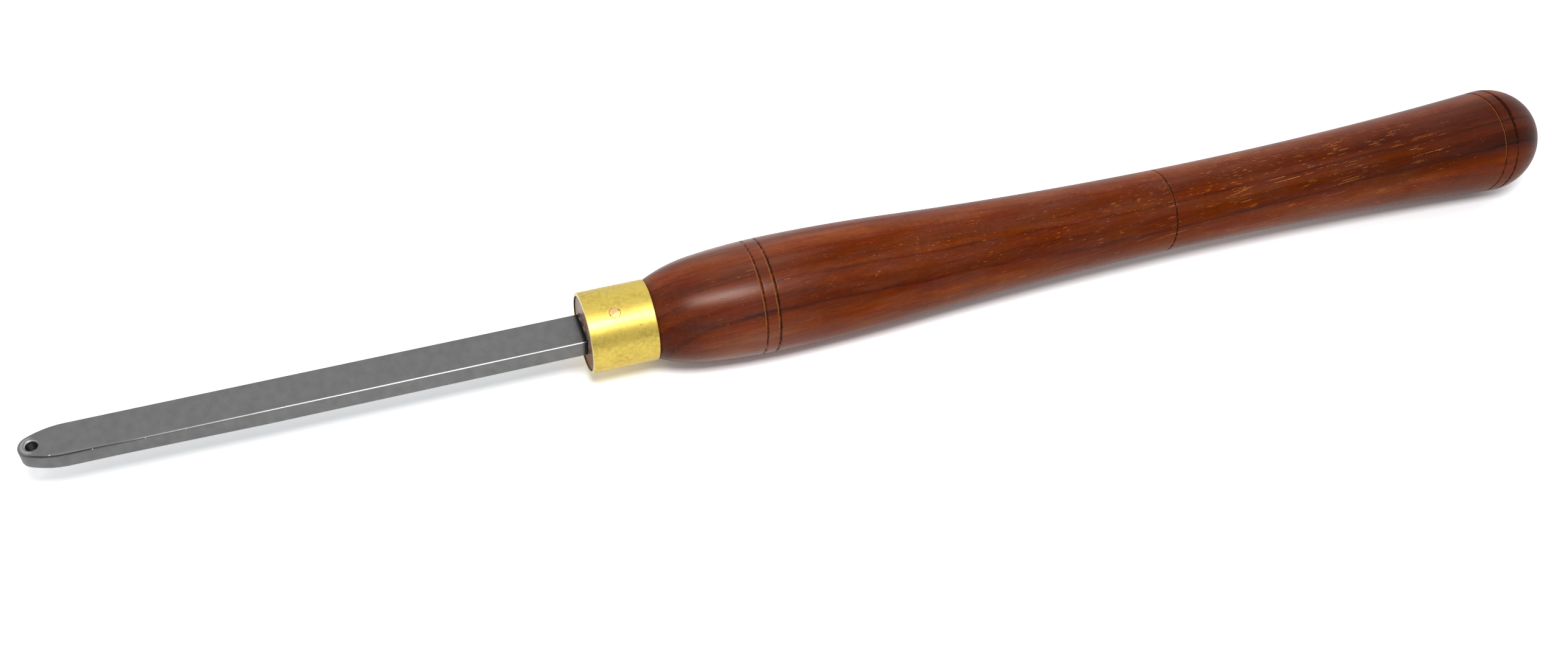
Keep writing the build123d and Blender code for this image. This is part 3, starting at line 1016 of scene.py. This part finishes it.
def wood_material(handle):
    """Dark tropical hardwood, turned, sanded and given a satin varnish.

    It gives the eye a deep red brown with soft darker layers, short golden flecks and a broad dull
    gloss.
    """
    material, tree, shader = new_material("satin varnished rosewood")
    place = place_in_mm(tree)
    along = add_node(tree, "SeparateXYZ", {0: place}).outputs["X"]
    fibres = add_node(tree, "VectorMath", {0: along, 1: FIBRE_RISE, 2: place}, operation="MULTIPLY_ADD")
    bent = shifted(tree, place, 0.7, 80, 16)
    bent = shifted(tree, bent, 0.22, 14, 4, shift=5.0)
    feathered = shifted(tree, bent, 0.24, 14, 0.5, shift=9.0)
    bent_fibres = shifted(tree, fibres, 0.16, 16, 4, shift=5.0)

    # streaks of fibre about 1 mm and 0.3 mm wide, slow clouds, and faint ripples across the grain
    ragged = grain_noise(tree, fibres, 1.2, 0.3, detail=2.0, shift=2.0)
    fine_fibre = grain_noise(tree, bent_fibres, 9, 0.28, shift=3.0)
    tone = summed(
        tree, growth_layers(tree, place, along, feathered),
        (grain_noise(tree, bent_fibres, 40, 1.1, detail=4.0), 0.055),
        (fine_fibre, 0.07),
        (grain_noise(tree, place, 30, 8, detail=2.0, shift=6.0), 0.035),
        (grain_noise(tree, place, 2.0, 12, shift=8.0), 0.022),
        (ragged, 0.04),
    )
    colour = add_node(tree, "ValToRGB", {0: tone}, stops=(
        (0.0, handle.line), (0.25, handle.dark), (0.5, handle.middle), (1.0, handle.pale),
    ))
    # the red turns a little towards orange and back over 20 mm
    colour = add_node(tree, "HueSaturation", {
        "Color": colour,
        "Hue": grain_noise(tree, place, 34, 6, low=0.495, high=0.504, detail=2.0, shift=14.0),
        "Saturation": grain_noise(tree, place, 22, 4, low=1.06, high=0.94, detail=2.0, shift=16.0),
    })

    # open pores, up to 3 mm long and 0.2 mm wide, show as short dark dashes
    pores, _ = grain_cells(
        tree, bent_fibres, 8, 0.5, reach=0.24, share=0.65, clusters=1.0, ragged=ragged, shift=1.0
    )
    pale = groove_mask(tree, ragged, "groove_pale", broken=0.16, low=0.15, high=0.95, most=0.75)
    dark = groove_mask(tree, ragged, "groove_dark", broken=0.3, low=0.25, high=0.8, most=0.95)
    end_grain = add_node(tree, "Attribute", attribute_name="end_grain").outputs["Fac"]
    colour = coated(
        tree, colour,
        (handle.line, pores, 0.5),
        *fleck_coats(tree, handle, along, fibres, bent_fibres, ragged),
        (handle.rim, pale),
        (handle.line, dark),
        (end_grain_colour(tree, place, handle), end_grain),
    )

    # fibres, pores and grooves break up the gloss
    station, reach, most = THICK_VARNISH
    on_shoulder = near(tree, along, FACE_X + station, reach)
    rough = add_node(tree, "MapRange", {
        0: on_shoulder, 1: 0.0, 2: 1.0, 3: ROUGH_WOOD, 4: ROUGH_SHOULDER,
    })
    rough = summed(tree, rough, (fine_fibre, 0.035), (pores, 0.35), (dark, 0.4))
    height = add_node(tree, "Math", {0: fine_fibre, 1: 0.12}, operation="MULTIPLY")
    height = summed(tree, height, (pores, -1.0))
    set_surface(tree, shader, colour, rough, height, WOOD_RELIEF)
    # the varnish has sunk into the wood, so its shine is weak and warm but for the shoulder's coat
    set_inputs(tree, shader, {
        "Specular IOR Level": 0.15,
        "Specular Tint": linear("FFBF99"),
        "Coat Weight": add_node(tree, "Math", {0: on_shoulder, 1: most}, operation="MULTIPLY"),
        "Coat Roughness": 0.3,
    })
    return material


BRASS_RELIEF = 0.0007        # of the rubbing marks, in millimetres
STEEL_RELIEF = 0.002         # of the grinding marks
# A pit in the ferrule: station, turn and radius
PIT_STATION = 15.57
PIT_TURN = math.radians(45.4)
PIT_R = 0.3


def rubbed_brass(tree, place, clean, tarnish):
    """The colour, roughness and relief of brass with fine rubbing marks and a blotchy bloom."""
    broad = grain_noise(tree, place, 9.0, 7.0, low=0.0, high=1.0, detail=2.0, shift=3.0)
    broad = add_node(tree, "MapRange", {0: broad, 1: 0.0, 2: 1.0, 3: 0.25, 4: 1.0})
    blotches = add_node(tree, "TexNoise", {
        "Vector": place, "Scale": 1 / 1.2, "Detail": 8.0, "Roughness": 0.7,
    })
    blotches = add_node(tree, "MapRange", {0: blotches, 1: 0.38, 2: 0.66})
    bloom = add_node(tree, "Math", {0: broad, 1: blotches}, operation="MULTIPLY")
    # marks from rubbing round and along the tube, about 0.2 mm apart
    round_marks = grain_noise(tree, place, 0.2, 5.0, detail=2.0, shift=7.0)
    long_marks = grain_noise(tree, place, 5.0, 0.25, detail=2.0, shift=9.0)
    marks = add_node(tree, "Math", {0: round_marks, 1: long_marks}, operation="ADD")
    rough = add_node(tree, "MapRange", {0: bloom, 1: 0.0, 2: 1.0, 3: 0.35, 4: 0.43})
    rough = summed(tree, rough, (marks, 0.015))
    return coated(tree, clean, (tarnish, bloom, 0.8)), rough, marks


def ferrule_material(ferrule):
    """Drawn brass tube, rubbed with fine abrasive and left to dull.

    It gives the eye a soft yellow shine with an olive bloom, cream at the rims from wear and a painted
    highlight, and painted shade in the bore.
    """
    material, tree, shader = new_material("rubbed brass tube")
    place = place_in_mm(tree)
    colour, rough, marks = rubbed_brass(tree, place, ferrule.brass, ferrule.tarnish)
    length, radius, wall = (v / MM for v in (ferrule.length, ferrule.radius, ferrule.wall))
    along = add_node(tree, "SeparateXYZ", {0: place}).outputs["X"]
    from_axis = distance_from(tree, place, (0, 0, 0), (0, 1, 1))
    inside = add_node(tree, "MapRange", {
        0: from_axis, 1: radius - wall + 0.02, 2: radius - wall + 0.12, 3: 1.0, 4: 0.0,
    })
    pit = (FACE_X + PIT_STATION, -radius * math.sin(PIT_TURN), radius * math.cos(PIT_TURN))
    from_pit = distance_from(tree, place, pit, (0.7, 1, 1))
    colour = coated(
        tree, colour,
        # rims: rubbed metal with a painted highlight on their rounded edges
        (ferrule.wear_and_highlight, near(tree, along, FACE_X, 0.3), 0.9),
        (ferrule.wear_and_highlight, near(tree, along, FACE_X + length, 0.2), 0.6),
        # painted shade in the bore, seen as a dark line between the rim and the end grain
        (ferrule.grime_and_shade, inside),
        (ferrule.grime_and_shade, near(tree, from_pit, 0.0, PIT_R), 0.85),
    )
    set_surface(tree, shader, colour, rough, marks, BRASS_RELIEF, metallic=1.0)
    return material


def screw_material(screw, ferrule):
    """Brass screw head filed flush with the tube.

    It gives the eye a disc of the tube's own shine, pinkish on one side, with a line of painted shade
    round it and a thin one in its slot.
    """
    material, tree, shader = new_material("filed brass screw")
    place = place_in_mm(tree)
    colour, rough, marks = rubbed_brass(tree, place, screw.brass, ferrule.tarnish)
    out = Vector((0, -math.sin(SCREW_TURN), math.cos(SCREW_TURN)))
    middle = Vector((FACE_X + SCREW_STATION, 0, 0)) + out * ferrule.radius / MM
    sideways = out.cross(Vector((1, 0, 0)))
    slot_along = Vector((math.cos(SLOT_TURN), 0, 0)) + sideways * math.sin(SLOT_TURN)
    away = add_node(tree, "VectorMath", {0: place, 1: middle}, operation="SUBTRACT")
    across, along = (
        add_node(tree, "VectorMath", {0: away, 1: axis}, operation="DOT_PRODUCT")
        for axis in (out.cross(slot_along), slot_along)
    )
    upper = add_node(tree, "MapRange", {0: across, 1: -0.1, 2: 0.6, 3: 0.0, 4: 0.6})
    ends = add_node(tree, "Math", {0: along}, operation="ABSOLUTE")
    ends = add_node(tree, "MapRange", {0: ends, 1: 0.9, 2: 1.5, 3: 0.1, 4: 0.6})
    from_middle = distance_from(tree, place, middle)
    ring = add_node(tree, "MapRange", {0: from_middle, 1: 1.52, 2: 1.66, 3: 0.0, 4: 0.85})
    colour = coated(
        tree, colour,
        (screw.pink, upper),
        # painted shade in the slot and round the head
        (screw.grime_and_shade, near(tree, across, 0.0, 0.28), ends),
        (screw.grime_and_shade, ring),
    )
    set_surface(tree, shader, colour, rough, marks, BRASS_RELIEF, metallic=1.0)
    return material


def adhesive_material(adhesive):
    """Dried epoxy squeezed out round the bar: it gives the eye a cloudy, half matt grey brown."""
    material, tree, shader = new_material("cloudy dried epoxy")
    place = place_in_mm(tree)
    cloud = add_node(tree, "TexNoise", {
        "Vector": place, "Scale": 1 / 2.2, "Detail": 4.0, "Roughness": 0.6,
    })
    share = add_node(tree, "MapRange", {0: cloud, 1: 0.42, 2: 0.62})
    colour = coated(tree, adhesive.dark, (adhesive.pale, share))
    set_inputs(tree, shader, {"Base Color": colour, "Roughness": 0.42})
    return material


# Bright nicks in the bar's front edge: distance from the nose, place across and reach
NICKS = ((8.3, -4.8, 0.20), (19.5, -5.75, 0.13), (33.5, -5.85, 0.12), (44.5, -5.85, 0.10))


def nose_coats(tree, bar, place, along, aside, inset, on_top, grit):
    """Coats on the nose: metal rubbed bright in front of the hole and round it, then a dark band.

    The band is a painted dark reflection that follows the facet, and nicks shine in its edge.
    """
    from_hole = distance_from(tree, place, (TAPPED_X, TAPPED_Y, 0), (1, 1, 0))
    broken = add_node(tree, "MapRange", {0: grit, 1: 0.32, 2: 0.55, 3: 0.5, 4: 1.0})
    in_front = add_node(
        tree, "MapRange", {0: along, 1: TAPPED_X - 1.0, 2: TAPPED_X + 0.6, 3: 1.0, 4: 0.0},
        interpolation_type="SMOOTHSTEP",
    )
    beyond = summed(tree, inset, (near(tree, along, NOSE_X + 14, 30), -0.6))
    band = add_node(tree, "MapRange", {0: beyond, 1: -0.12, 2: 0.12, 3: 1.0, 4: 0.0})
    off_edge = add_node(tree, "MapRange", {0: inset, 1: 0.05, 2: 0.25})
    front = add_node(tree, "MapRange", {0: aside, 1: -4.0, 2: -2.6, 3: 1.0, 4: 0.0})
    yield bar.wear_and_highlight, near(tree, from_hole, 2.65, 0.7), on_top, in_front, broken, 0.55
    yield bar.wear_and_highlight, near(tree, from_hole, SINK_R - 0.2, 0.24), on_top, broken, 0.85
    # painted dark reflection along the facet
    yield bar.scale, band, off_edge, front, on_top, 0.9
    for from_nose, nick_y, reach in NICKS:
        spot = distance_from(tree, place, (NOSE_X + from_nose, nick_y, 0), (0.45, 1, 0))
        yield bar.nick, near(tree, spot, 0.0, reach), on_top


def steel_material(bar):
    """Tool steel bar, ground and then rubbed.

    It gives the eye an even dark grey satin, bright where the nose and the front edge are rubbed, with
    a painted highlight along that edge, and painted shade, nearly black, inside the thread and at the
    root.
    """
    material, tree, shader = new_material("satin ground tool steel")
    place = place_in_mm(tree)
    along, aside, height = add_node(tree, "SeparateXYZ", {0: place}).outputs
    inset = add_node(tree, "Attribute", attribute_name="inset").outputs["Fac"]
    grit = add_node(tree, "TexNoise", {
        "Vector": place, "Scale": 1 / 0.35, "Detail": 3.0, "Roughness": 0.6,
    })
    mottle = grain_noise(tree, place, 2.6, 3.4, low=0.0, high=1.0, detail=8.0)
    scratches = grain_noise(tree, place, 14.0, 0.12, detail=2.0, shift=4.0)
    top = BAR_TOP - AXIS_HEIGHT
    on_top = add_node(tree, "MapRange", {0: height, 1: top - 0.5, 2: top - 0.3})

    # hands and the tool rest have rubbed the long front edge bright behind the nose; the paint is also
    # a painted highlight on the edge
    in_front = add_node(tree, "MapRange", {0: aside, 1: -5.2, 2: -4.8, 3: 1.0, 4: 0.0})
    behind_nose = add_node(tree, "MapRange", {0: along, 1: NOSE_X + 35, 2: NOSE_X + 75})
    rubbed = near(tree, inset, 0.32, 0.36)
    for mask in (in_front, behind_nose):
        rubbed = add_node(tree, "Math", {0: rubbed, 1: mask}, operation="MULTIPLY")

    # painted shade: the thread is darkened nearly black, and so is the last stretch in front of the
    # handle, where the dark paint stands in for the handle's shade and the wood's dark reflection
    from_hole = distance_from(tree, place, (TAPPED_X, TAPPED_Y, 0), (1, 1, 0))
    inside = add_node(tree, "MapRange", {0: from_hole, 1: SINK_R, 2: SINK_R + 0.1, 3: 1.0, 4: 0.0})
    below = add_node(tree, "MapRange", {0: height, 1: top - 0.6, 2: top - 0.46, 3: 1.0, 4: 0.0})
    root = add_node(
        tree, "MapRange",
        {0: summed(tree, along, (grit, 0.9)), 1: FACE_X - 1.5, 2: FACE_X - 0.2, 3: 0.0, 4: 0.93},
        interpolation_type="SMOOTHSTEP",
    )
    colour = coated(
        tree, bar.steel,
        (bar.steel_dark, mottle),
        # rubbed front edge, also a painted highlight
        (bar.wear_and_highlight, rubbed, 0.4),
        *nose_coats(tree, bar, place, along, aside, inset, on_top, grit),
        # painted shade in the thread, and painted shade and dark reflection at the root
        (bar.painted_shade, inside, below, 0.93),
        (bar.painted_shade, root),
    )
    rough = add_node(tree, "MapRange", {0: mottle, 1: 0.0, 2: 1.0, 3: 0.36, 4: 0.44})
    rough = summed(tree, rough, (scratches, 0.02), (grit, 0.05), (rubbed, -0.1))
    set_surface(tree, shader, colour, rough, scratches, STEEL_RELIEF, metallic=1.0)
    return material


# Operators

class TURNING_OT_handle(bpy.types.Operator):
    """Build the turned hardwood handle"""
    bl_idname = "turning.handle"
    bl_label = "Handle"

    def execute(self, context):
        tool = context.scene.turning_tool
        mesh = handle_mesh(tool.handle, tool.bar)
        add_piece("handle_wood", mesh, wood_material(tool.handle), "handle_wood", "handle")
        return {"FINISHED"}


class TURNING_OT_ferrule(bpy.types.Operator):
    """Build the brass ferrule"""
    bl_idname = "turning.ferrule"
    bl_label = "Ferrule"

    def execute(self, context):
        ferrule = context.scene.turning_tool.ferrule
        mesh = ferrule_mesh(ferrule)
        add_piece("ferrule_tube", mesh, ferrule_material(ferrule), "ferrule_brass", "ferrule")
        return {"FINISHED"}


class TURNING_OT_bar(bpy.types.Operator):
    """Build the ground steel bar"""
    bl_idname = "turning.bar"
    bl_label = "Steel bar"

    def execute(self, context):
        bar = context.scene.turning_tool.bar
        add_piece("steel_bar_ground", bar_mesh(bar), steel_material(bar), "bar_steel", "steel_bar")
        return {"FINISHED"}


class TURNING_OT_adhesive(bpy.types.Operator):
    """Build the dried adhesive round the bar's root"""
    bl_idname = "turning.adhesive"
    bl_label = "Adhesive"

    def execute(self, context):
        tool = context.scene.turning_tool
        mesh = adhesive_mesh(tool.bar, tool.adhesive)
        add_piece("dried_adhesive", mesh, adhesive_material(tool.adhesive))
        return {"FINISHED"}


class TURNING_OT_screw(bpy.types.Operator):
    """Finish the small screw that holds the ferrule"""
    bl_idname = "turning.screw"
    bl_label = "Ferrule screw"

    def execute(self, context):
        screw = frame["nodes"]["ferrule_screw"]
        tool = context.scene.turning_tool
        screw.data.materials.clear()
        screw.data.materials.append(screw_material(tool.screw, tool.ferrule))
        return {"FINISHED"}


FLOOR_REACH = 4.0
PAPER = 0.62                 # how much light the paper gives back to the tool
PAPER_IN_METAL = 1.05        # as reflections show it
PAPER_SEEN = (1.64, 1.67, 1.7, 1.0)     # as the camera shows it, exposed to plain white
ROOM_SEEN = 0.9              # the room beyond the paper, as the camera shows it
LOOK_FROM = Vector((-0.15994, -0.32054, 0.39246))
LOOK_ALONG = Vector((0.25158, 0.59427, -0.76390))
LOOK_RIGHT = Vector((0.94384, -0.32531, 0.05776))
FOCAL_LENGTH = 37.68
VIEW_SHIFT = 0.0243
KEY_PLACE = Vector((-0.080, -0.252, 0.556))
KEY_AIM = Vector((-0.05, 0, 0.02))
KEY_SIZE = (0.26, 0.15)
BRIGHT_SIDE = (0.0, 0.8, 0.6)    # towards the brightest part of the room, behind the tool
ROOM_LIGHT = (-0.6, 0.8, 0.62, 1.45)     # shares of that way, and the light from each
ROOM_IN_METAL = (-0.5, 0.3, 0.55, 0.95)  # the same, as reflections show it
WHITE = (1.0, 1.0, 1.0, 1.0)


def rays_that_see(tree):
    """Two masks: 1 for rays that show a surface, straight or reflected, and 1 for camera rays alone."""
    path = add_node(tree, "LightPath").outputs
    seen = path["Is Camera Ray"]
    for ray in ("Is Glossy Ray", "Is Transmission Ray"):
        seen = add_node(tree, "Math", {0: seen, 1: path[ray]}, operation="MAXIMUM")
    return seen, path["Is Camera Ray"]


def floor_material():
    """White paper sheet: it gives the eye plain white but for the tool's soft shadow."""
    material, tree, shader = new_material("white paper floor", "BsdfDiffuse")
    seen, by_camera = rays_that_see(tree)
    white = summed(tree, PAPER, (seen, PAPER_IN_METAL - PAPER))
    set_inputs(tree, shader, {"Color": coated(tree, white, (PAPER_SEEN, by_camera))})
    return material


def studio_world(fill):
    """Soft light from a white room, brightest behind the tool, and a backdrop that reflections show."""
    world = bpy.data.worlds.new("studio")
    world.use_nodes = True
    tree = world.node_tree
    tree.nodes.clear()
    seen, by_camera = rays_that_see(tree)
    towards = add_node(tree, "TexCoord").outputs["Generated"]
    behind = add_node(tree, "VectorMath", {0: towards, 1: BRIGHT_SIDE}, operation="DOT_PRODUCT")
    light, shown = (
        add_node(tree, "MapRange", {0: behind, 1: start, 2: end, 3: at_start, 4: at_end})
        for start, end, at_start, at_end in (ROOM_LIGHT, ROOM_IN_METAL)
    )
    light = add_node(tree, "Math", {0: light, 1: fill}, operation="MULTIPLY")
    strength = add_node(tree, "Mix", {0: seen, 2: light, 3: shown}, data_type="FLOAT")
    strength = add_node(tree, "Mix", {0: by_camera, 2: strength, 3: ROOM_SEEN}, data_type="FLOAT")
    room = add_node(tree, "Background", {"Color": WHITE, "Strength": strength})
    add_node(tree, "OutputWorld", {"Surface": room})
    return world


class TURNING_OT_stage(bpy.types.Operator):
    """Set up the white floor, the soft light and the camera"""
    bl_idname = "turning.stage"
    bl_label = "Stage"

    def execute(self, context):
        scene = context.scene
        stage = scene.turning_tool.stage
        mesh = bpy.data.meshes.new("floor")
        corners = np.array([(-1, -1, 0), (1, -1, 0), (1, 1, 0), (-1, 1, 0)]) * FLOOR_REACH
        mesh.from_pydata(corners.tolist(), [], [(0, 1, 2, 3)])
        mesh.materials.append(floor_material())
        floor = bpy.data.objects.new("floor", mesh)
        scene.collection.objects.link(floor)
        floor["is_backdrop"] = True

        light = bpy.data.lights.new("key", "AREA")
        light.shape = "RECTANGLE"
        light.size, light.size_y = KEY_SIZE
        light.energy = stage.key_power
        key = bpy.data.objects.new("key", light)
        key.location = KEY_PLACE
        key.rotation_euler = (KEY_AIM - KEY_PLACE).to_track_quat("-Z", "Y").to_euler()
        scene.collection.objects.link(key)

        scene.world = studio_world(stage.fill)

        lens = bpy.data.cameras.new("camera")
        lens.sensor_width = 36.0
        lens.lens = FOCAL_LENGTH
        lens.shift_y = VIEW_SHIFT
        lens.clip_start = 0.01
        camera = bpy.data.objects.new("camera", lens)
        up = LOOK_RIGHT.cross(LOOK_ALONG)
        turn = Matrix((LOOK_RIGHT, up, -LOOK_ALONG)).transposed()
        camera.matrix_world = Matrix.Translation(LOOK_FROM) @ turn.to_4x4()
        scene.collection.objects.link(camera)
        scene.camera = camera
        scene.view_settings.view_transform = "Standard"
        return {"FINISHED"}


class TURNING_PT_panel(bpy.types.Panel):
    """The pieces of the tool and what can be changed on them"""
    bl_label = "Turning tool"
    bl_idname = "TURNING_PT_panel"
    bl_space_type = "VIEW_3D"
    bl_region_type = "UI"
    bl_category = "Turning tool"

    def draw(self, context):
        tool = context.scene.turning_tool
        for operator in OPERATORS:
            box = self.layout.box()
            box.operator(operator.bl_idname)
            group = getattr(tool, operator.bl_idname.split(".")[1], None)
            if group:
                for name in group.__annotations__:
                    box.prop(group, name)


OPERATORS = (
    TURNING_OT_handle, TURNING_OT_ferrule, TURNING_OT_bar,
    TURNING_OT_adhesive, TURNING_OT_screw, TURNING_OT_stage,
)
CLASSES = (
    HandleSettings, FerruleSettings, BarSettings, AdhesiveSettings, ScrewSettings, StageSettings,
    ToolSettings, *OPERATORS, TURNING_PT_panel,
)


def register():
    for cls in CLASSES:
        bpy.utils.register_class(cls)
    bpy.types.Scene.turning_tool = bpy.props.PointerProperty(type=ToolSettings)


def unregister():
    del bpy.types.Scene.turning_tool
    for cls in reversed(CLASSES):
        bpy.utils.unregister_class(cls)


def main():
    register()
    bpy.ops.turning.handle()
    bpy.ops.turning.ferrule()
    bpy.ops.turning.bar()
    bpy.ops.turning.adhesive()
    bpy.ops.turning.screw()
    bpy.ops.turning.stage()
    bounds = {"cad": cad_bounds, "visual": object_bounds()}
    {name: [list(corner) for corner in box] for name, box in bounds.items()}


if __name__ == "__main__":
    main()
